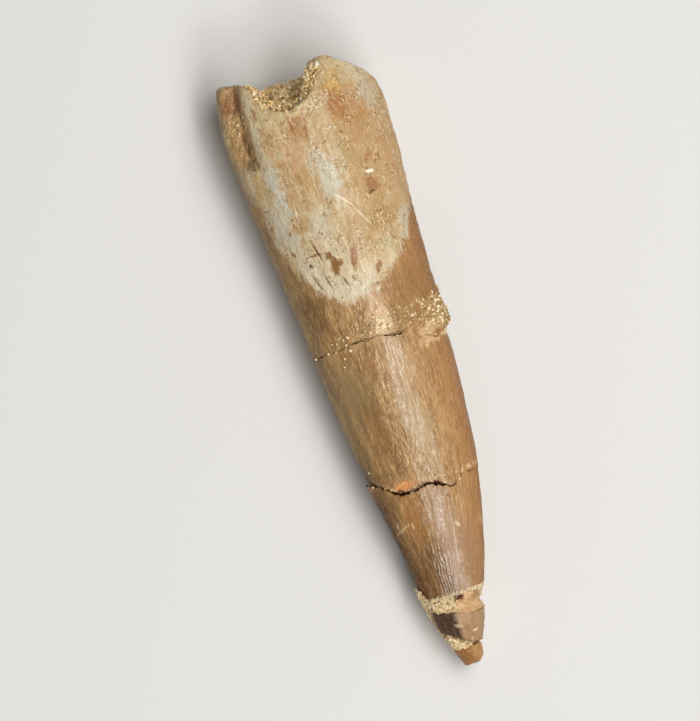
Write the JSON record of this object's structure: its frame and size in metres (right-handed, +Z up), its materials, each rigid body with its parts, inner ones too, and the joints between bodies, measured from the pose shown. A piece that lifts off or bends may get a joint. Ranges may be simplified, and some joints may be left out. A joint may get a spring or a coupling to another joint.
{
  "type": "fossil elasmosaurus tooth",
  "caption": "Long conical fossil tooth of a marine reptile, lying on its side, with a broken root, mended breaks and sandy matrix near its blunt tip.",
  "frame": {"origin": "middle of the bottom of the whole tooth's box, on the surface that it rests on", "axes": "+X along the tooth from the broken root to the tip, +Z up from the worn flat that it rests on, +Y to the side with the sand crust"},
  "size_m": [0.0564, 0.015, 0.0129],
  "materials": {
    "root_dentine": "mottled beige and cream, satin, with fine pits, cracks and brown stains",
    "crown_enamel": "brown, glossy, with fine lengthwise ridges",
    "sandy_matrix": "matt pale yellow sand grains",
    "dark_enamel": "dark brown, glossy",
    "amber_enamel": "worn amber brown, glossy",
    "granular_matrix": "matt golden brown grains with small bright facets"
  },
  "bodies": {
    "root": {"root_section": "root_dentine", "crown_middle": "crown_enamel", "crown_lower": "crown_enamel", "tip_matrix": "sandy_matrix", "enamel_flake": "dark_enamel", "tip_fragment": "amber_enamel", "pulp_matrix": "granular_matrix"}
  },
  "joints": []
}
